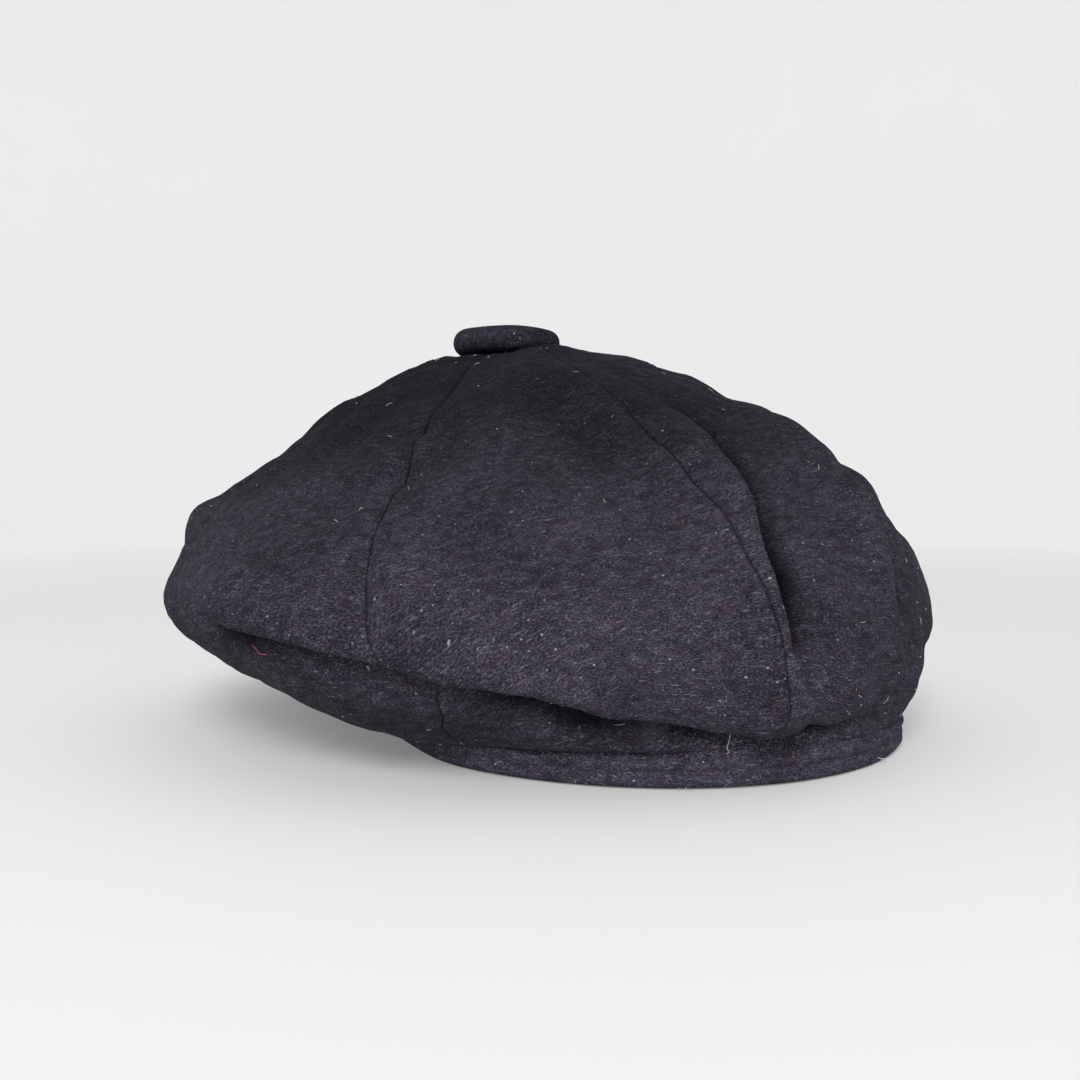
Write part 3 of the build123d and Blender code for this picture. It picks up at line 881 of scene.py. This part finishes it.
def woven_label(cloth, thread, shell_moves):
    """The label lies on the satin where its CAD node is, with a row of stitches round it."""
    low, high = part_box("lining_label")
    middle = (np.array(low) + np.array(high)) / 2 / MM
    middle_azimuth = PANEL_STEP * (LABEL_PANEL + 0.5)
    tries = np.linspace(0.3, 1.9, 161)
    line = smooth_points(np.full_like(tries, middle_azimuth), tries, LINING_LAYER)
    middle_height = float(tries[np.argmin(np.linalg.norm(line - middle, axis=1))])

    def on_satin(across, along):
        spot, beside, above = smooth_points(middle_azimuth + np.array([0.0, 1.0, 0.0]),
                                            middle_height + np.array([0.0, 0.0, 0.05]), LINING_LAYER)
        azimuth = middle_azimuth + across / np.linalg.norm(beside - spot)
        height = middle_height + along * 0.05 / np.linalg.norm(above - spot)
        points, normal = lining_grid(azimuth, height, shell_moves)
        return points - normal * (LINING_T + 0.12), normal

    across, along = np.meshgrid(np.linspace(-0.5, 0.5, 31) * LABEL_W,
                                np.linspace(-0.5, 0.5, 21) * LABEL_L, indexing="ij")
    outer, normal = on_satin(across, along)
    border = np.minimum(LABEL_W / 2 - np.abs(across), LABEL_L / 2 - np.abs(along))
    lift = 0.35 * np.exp(-border / 1.2)
    inner = outer - normal * (0.35 + lift)[..., None]
    vertices, faces = closed_sheet(outer, inner)
    obj = new_object("label_cloth", vertices, faces, cloth)
    place = np.stack([across, along, np.zeros_like(across)], -1)
    store_place(obj, place)
    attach(obj, "cap")
    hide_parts("lining_label")

    inside_w, inside_l = LABEL_W / 2 - STITCH_IN, LABEL_L / 2 - STITCH_IN
    top = np.arange(-inside_w + STITCH_STEP / 2, inside_w, STITCH_STEP)
    side = np.arange(-inside_l + STITCH_STEP / 2, inside_l, STITCH_STEP)
    spots = [(x, y, 1.0, 0.0) for x in top for y in (-inside_l, inside_l)]
    spots += [(x, y, 0.0, 1.0) for y in side for x in (-inside_w, inside_w)]
    spots = np.array(spots)
    here, normal = on_satin(spots[:, 0], spots[:, 1])
    ahead, _ = on_satin(spots[:, 0] + spots[:, 2] * 0.5, spots[:, 1] + spots[:, 3] * 0.5)
    ways = unit(ahead - here)
    share = np.linspace(-1.0, 1.0, 7)[:, None]
    vertices, faces = [], []
    for place, way, out in zip(here - normal * 0.75, ways, -normal):
        arch = out * STITCH_R * 0.5 * (1.0 - share**2)
        line = place + way * share * STITCH_L / 2 + arch
        thin = STITCH_R * np.sqrt(np.clip(1.0 - share[:, 0] ** 2, 0.0, None)) + 0.01
        add_tube(vertices, faces, line, np.cross(way, out)[None], out[None], thin, 6)
    obj = new_object("label_stitching", np.array(vertices), faces, thread)
    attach(obj, "cap")


# ---- visor -----------------------------------------------------------------------------
VISOR_GAP, VISOR_HALF, VISOR_TIP_Y = 1.8, 50.0, -163.0
VISOR_TOP_Z, VISOR_BEND_R, VISOR_DIP = 18.0, 150.0, 8.0
COVER_T, BOARD_T, BOARD_INSET = 1.0, 1.7, 1.8
VISOR_FULL = 2 * COVER_T + BOARD_T
VISOR_COLUMNS, VISOR_ROWS, RIM_ROWS = 96, 40, 8
VISOR_SHADE = 0.12


def visor_height(x, y, depth):
    """Height of the visor's arched face at a depth below its top face."""
    dip = sin(radians(VISOR_DIP))
    arch = np.sqrt((VISOR_BEND_R - depth) ** 2 - x**2)
    return VISOR_TOP_Z - VISOR_BEND_R + dip * (y + HEAD_B) + np.sqrt(1.0 + dip * dip) * arch


def visor_face(depth, rim_depth, rim_inset, hem_gap):
    """A face of the visor from the hem out to its rim, where it rolls to another depth."""
    share = np.linspace(-1.0, 1.0, VISOR_COLUMNS + 1)
    corner_x = (HEAD_A + VISOR_GAP) * sin(radians(VISOR_HALF))
    corner_y = -(HEAD_B + VISOR_GAP) * cos(radians(VISOR_HALF))
    inside = headings(share * VISOR_HALF) * np.array([HEAD_A + hem_gap, HEAD_B + hem_gap, 0.0])
    turn = share * pi / 2
    outside = np.stack([(corner_x - rim_inset) * np.sin(turn),
                        corner_y - (corner_y - VISOR_TIP_Y - rim_inset) * np.cos(turn),
                        np.zeros_like(turn)], -1)
    length = np.maximum(np.linalg.norm(outside - inside, axis=1), 1e-3)
    roll = np.minimum(abs(rim_depth - depth), 0.45 * length)
    quarter = np.linspace(0.0, pi / 2, RIM_ROWS + 1)[1:]
    flat = np.linspace(0.0, 1.0, VISOR_ROWS)[None] * (length - roll)[:, None]
    rolled = (length - roll)[:, None] + roll[:, None] * np.sin(quarter)[None]
    travel = np.concatenate([flat, rolled], axis=1) / length[:, None]
    points = inside[:, None] + (outside - inside)[:, None] * travel[..., None]
    drop = np.concatenate([np.zeros(VISOR_ROWS), 1.0 - np.cos(quarter)])
    local = depth + (rim_depth - depth) * drop[None]
    points[..., 2] = visor_height(points[..., 0], points[..., 1], local)
    return points, travel, length


def visor_cover(name, node, depth, material, up):
    """One cloth cover of the visor; up is 1 for the top cover and -1 for the lower one."""
    outer, travel, length = visor_face(depth, VISOR_FULL / 2, 0.0, -0.35)
    free = soft_step(travel * 4.0) * soft_step((1.0 - travel) * 6.0)
    swell = free * (0.20 * ripple(outer, 30.0, 51) + 0.10 * ripple(outer, 11.0, 52))
    rim_ridge = 0.25 * bump((1.0 - travel) * length[:, None] - 3.2, 1.4)
    outer[..., 2] += up * (swell + rim_ridge * soft_step(length / 25.0)[:, None])
    inner_depth = depth + up * (COVER_T - 0.05)
    inside, _, _ = visor_face(inner_depth, VISOR_FULL / 2 - up * 0.06, COVER_T, 0.0)
    vertices, faces = closed_sheet(outer, inside)
    if up > 0:
        faces = [face[::-1] for face in faces]
    obj = new_object(name, vertices, faces, material)
    place = outer.copy()
    place[..., 2] = 420.0 + up * 40.0
    store_place(obj, place)
    store_shade(obj, np.full(travel.shape, VISOR_SHADE))
    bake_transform(obj)
    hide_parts(node)


def visor_stiffener(material):
    """The board between the covers, which bends with them."""
    high, low = COVER_T + 0.05, COVER_T + BOARD_T - 0.05
    upper, _, _ = visor_face(high, high, BOARD_INSET, BOARD_INSET)
    lower, _, _ = visor_face(low, low, BOARD_INSET, BOARD_INSET)
    vertices, faces = closed_sheet(upper, lower)
    obj = new_object("board_visor", vertices, [face[::-1] for face in faces], material, smooth=False)
    store_vectors(obj, "cloth", np.concatenate([upper.reshape(-1, 3), lower.reshape(-1, 3)]))
    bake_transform(obj)
    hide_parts("visor_board")


# ---- floor, light and camera -------------------------------------------------------
CAMERA_AZIMUTH = 165.7
CAMERA_DISTANCE, CAMERA_ASIDE, CAMERA_HEIGHT = 411.4, 31.5, 79.0
CAMERA_LENS = 38.8
CAMERA_PITCH = 2.23
STAGE_FLAT_R, STAGE_CURVE_R, STAGE_WALL_Z = 1800.0, 1100.0, 2300.0
# How brightly the paper glows near the cap and far out: painted light that lifts the cap's shadow on
# the floor and brightens the wall.
STAGE_GLOW_NEAR, STAGE_GLOW_FAR = 0.27, 0.51
WORLD_STRENGTH = 0.72


def add_camera():
    """The photograph's viewpoint, behind the cap and a little to the wearer's left."""
    turn = radians(CAMERA_AZIMUTH)
    right = Vector((cos(turn), sin(turn), 0.0))
    forward = Vector((-sin(turn), cos(turn), 0.0))
    place = -right * CAMERA_ASIDE - forward * CAMERA_DISTANCE
    camera = bpy.data.objects.new("camera", bpy.data.cameras.new("camera"))
    camera.location = Vector((place.x, place.y, CAMERA_HEIGHT)) * MM
    camera.rotation_euler = (radians(90.0 - CAMERA_PITCH), 0.0, turn)
    camera.data.lens = CAMERA_LENS
    camera.data.sensor_width = 36.0
    camera.data.clip_start = 0.01
    camera.data.clip_end = 50.0
    bpy.context.scene.collection.objects.link(camera)
    bpy.context.scene.camera = camera


def add_light(name, azimuth, elevation, distance, size, power):
    """An area light aimed at the middle of the cap."""
    target = Vector((0.02, -0.02, 0.06))
    away = Vector((sin(radians(azimuth)) * cos(radians(elevation)),
                   -cos(radians(azimuth)) * cos(radians(elevation)), sin(radians(elevation))))
    data = bpy.data.lights.new(name, "AREA")
    data.shape = "SQUARE"
    data.size = size
    data.energy = power
    light = bpy.data.objects.new(name, data)
    light.location = target + away * distance
    light.rotation_euler = (-away).to_track_quat("-Z", "Y").to_euler()
    light.visible_camera = False
    bpy.context.scene.collection.objects.link(light)


def add_stage():
    """A pale floor that curves up into a wall all round, so that no edge shows."""
    graph = Graph("stage_paper", 0.7, specular=0.2)
    place = graph.node("TexCoord").outputs["Object"]
    paper = graph.mix(graph.noise(place, 2.0, 2.0), (0.595, 0.594, 0.592), (0.615, 0.614, 0.612))
    graph.colour(paper)
    # Painted light: the paper glows evenly near the cap and more strongly far out, lifting the cap's
    # shadow on the floor and lighting the wall.
    far = graph.remap(graph.attribute("away", "Fac"), 0.5, 1.6, STAGE_GLOW_NEAR, STAGE_GLOW_FAR)
    graph.feed(graph.shader.inputs["Emission Color"], paper)
    graph.feed(graph.shader.inputs["Emission Strength"], far)
    flat = [(r, 0.0) for r in np.linspace(1.0, STAGE_FLAT_R, 6)]
    rise = [(STAGE_FLAT_R + STAGE_CURVE_R * sin(t), STAGE_CURVE_R * (1.0 - cos(t)))
            for t in np.linspace(0.0, pi / 2, 15)[1:]]
    profile = flat + rise + [(STAGE_FLAT_R + STAGE_CURVE_R, STAGE_WALL_Z)]
    spans = 96
    turn = np.linspace(0.0, 2 * pi, spans, endpoint=False)
    vertices = [(r * cos(t), r * sin(t), z) for t in turn for r, z in profile]
    rows = len(profile)
    columns = [(i * rows, (i + 1) % spans * rows) for i in range(spans)]
    faces = [(a + j, a + j + 1, b + j + 1, b + j) for a, b in columns for j in range(rows - 1)]
    faces.append([i * rows for i in range(spans)][::-1])
    stage = new_object("stage_floor", vertices, faces, graph.material)
    stage.location.z = -0.0005
    store_numbers(stage, "away", [hypot(x, y) * MM for x, y, _ in vertices])
    world = bpy.data.worlds.new("studio")
    world.use_nodes = True
    sky = world.node_tree.nodes["Background"]
    sky.inputs["Color"].default_value = (0.97, 0.98, 1.0, 1.0)
    sky.inputs["Strength"].default_value = WORLD_STRENGTH
    bpy.context.scene.world = world
    bpy.context.scene.view_settings.view_transform = "Standard"
    add_light("key", azimuth=160.0, elevation=33.0, distance=1.7, size=0.7, power=19.5)


# ---- lint --------------------------------------------------------------------------------
LINT_FIBRES, LINT_SPECKS = 80, 90
# Single threads: points as (azimuth, height, stand-off in mm), and a radius in mm.
PINK_THREAD = ([(117.0, 0.80, 0.3), (117.4, 0.775, 1.1), (118.0, 0.755, 1.0), (118.6, 0.74, 0.3)], 0.19)
PALE_THREADS = [
    ([(176.3, 0.31, 0.4), (176.9, 0.24, 1.0), (176.2, 0.16, 1.2), (176.6, 0.08, 1.3),
      (176.0, 0.01, 0.5)], 0.09),
    ([(168.2, -0.97, 0.2), (168.6, -0.99, 1.8), (169.6, -1.0, 3.4)], 0.11),
    ([(167.6, -0.97, 0.2), (167.8, -0.99, 1.6), (167.2, -1.0, 2.8)], 0.08),
    ([(212.0, -0.80, 0.2), (213.0, -0.85, 1.6), (213.4, -0.93, 2.9)], 0.10),
    ([(214.5, -0.85, 0.2), (215.0, -0.9, 1.8), (216.0, -0.9, 2.6)], 0.08),
]


def on_cloth(panels, spots):
    """Points standing off the sculpted cloth, from azimuths, heights and stand-offs."""
    cloth = np.concatenate([outer.reshape(-1, 3) for outer, _, _ in panels])
    outward = np.concatenate([normal.reshape(-1, 3) for _, normal, _ in panels])
    path = []
    for azimuth, height, lift in spots:
        spot = smooth_points(np.array(azimuth), np.array(height), SHELL_LAYER)
        near = np.argmin(np.linalg.norm(cloth - spot, axis=1))
        point = cloth[near] + outward[near] * lift
        path.append(np.maximum(point, (-np.inf, -np.inf, 0.2)))
    return np.array(path)


def single_thread(name, path, radius, material):
    """One thick thread through a few points, as a round tube."""
    share = np.linspace(0.0, len(path) - 1.0, 13)
    line = np.stack([np.interp(share, range(len(path)), path[:, k]) for k in range(3)], -1)
    for _ in range(2):
        line[1:-1] = (line[:-2] + 2 * line[1:-1] + line[2:]) / 4
    vertices, faces = [], []
    add_thread(vertices, faces, line, np.full(len(line), radius), 6)
    obj = new_object(name, np.array(vertices), faces, material)
    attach(obj, "cap")


def lint(panels, material):
    """Short pale fibres and specks that cling to the cloth."""
    rng = np.random.default_rng(RNG_SEED)
    vertices, faces = [], []
    for count in range(LINT_FIBRES + LINT_SPECKS):
        outer = panels[rng.integers(len(panels))][0]
        i, j = rng.integers(3, outer.shape[0] - 4), rng.integers(22, outer.shape[1] - 6)
        place, out = outer[i, j], grid_normals(outer[i - 1:i + 2, j - 1:j + 2])[1, 1]
        way = unit(outer[i + 1, j] - outer[i - 1, j])
        over = np.cross(out, way)
        turn = rng.uniform(0, pi)
        first = way * cos(turn) + over * sin(turn)
        second = np.cross(out, first)
        is_fibre = count < LINT_FIBRES
        length = rng.uniform(1.2, 3.6) if is_fibre else rng.uniform(0.25, 0.6)
        bend = rng.uniform(-0.5, 0.5) if is_fibre else 0.0
        radius = rng.uniform(0.05, 0.09) if is_fibre else rng.uniform(0.12, 0.28)
        path = []
        for share in np.linspace(-0.5, 0.5, 7 if is_fibre else 3):
            arch = 0.3 * (1.0 - 4.0 * share**2) if is_fibre else 0.0
            path.append(place + first * share * length + second * bend * length * share**2
                        + out * (0.05 + arch))
        radii = np.full(len(path), radius)
        radii[[0, -1]] *= 0.35
        add_thread(vertices, faces, path, radii, 5)
    obj = new_object("lint_fibres", np.array(vertices), faces, material)
    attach(obj, "cap")


# ---- the whole cap -------------------------------------------------------------------------
add_camera()
wool = wool_material()
shell = [shell_panel(panel_number, wool) for panel_number in range(len(PANEL_NAMES))]
button_cover(wool)

satin = satin_material()
moves_of_shell = remember_shell(shell)
for panel_number in range(len(PANEL_NAMES)):
    lining_panel(panel_number, satin, moves_of_shell)
label_thread = thread_material("label_thread", (0.30, 0.29, 0.26), (0.45, 0.43, 0.39))
woven_label(label_material(), label_thread, moves_of_shell)

hem_turn_up(wool)
grosgrain = ribbon_material("grosgrain_sweatband", (0.014, 0.014, 0.018), (0.042, 0.042, 0.050),
                            0.9, 0.7)
head_band("grosgrain_band", "sweatband", grosgrain,
          3.3, 1.2, 0.6, BAND_TOP, 13, 1.0)
cotton = ribbon_material("stiffening_tape", (0.030, 0.029, 0.034), (0.060, 0.058, 0.066),
                         0.7, 0.85)
head_band("tape_in_hem", "hem_tape", cotton, 1.7, 0.7, 1.0, 14.0, 5, 0.0)

visor_cover("cloth_visor_top", "visor_top_cover", 0.0, wool, 1.0)
visor_cover("cloth_visor_under", "visor_under_cover", VISOR_FULL, wool, -1.0)
visor_stiffener(board_material())

steel = steel_material()
for metal_part in ("button_shell", "button_collet", "button_shank", "button_washer"):
    part = bpy.data.objects[metal_part]
    part.data.materials.clear()
    part.data.materials.append(steel)

lint(shell, thread_material("lint_fibre", (0.30, 0.28, 0.30), (0.62, 0.60, 0.62)))
pink = thread_material("pink_thread", (0.30, 0.06, 0.10), (0.50, 0.14, 0.20))
single_thread("thread_pink", on_cloth(shell, PINK_THREAD[0]), PINK_THREAD[1], pink)
pale = thread_material("pale_thread", (0.34, 0.32, 0.33), (0.60, 0.58, 0.58))
for thread_number, (spots, thread_radius) in enumerate(PALE_THREADS):
    single_thread(f"thread_pale_{thread_number}", on_cloth(shell, spots), thread_radius, pale)
add_stage()
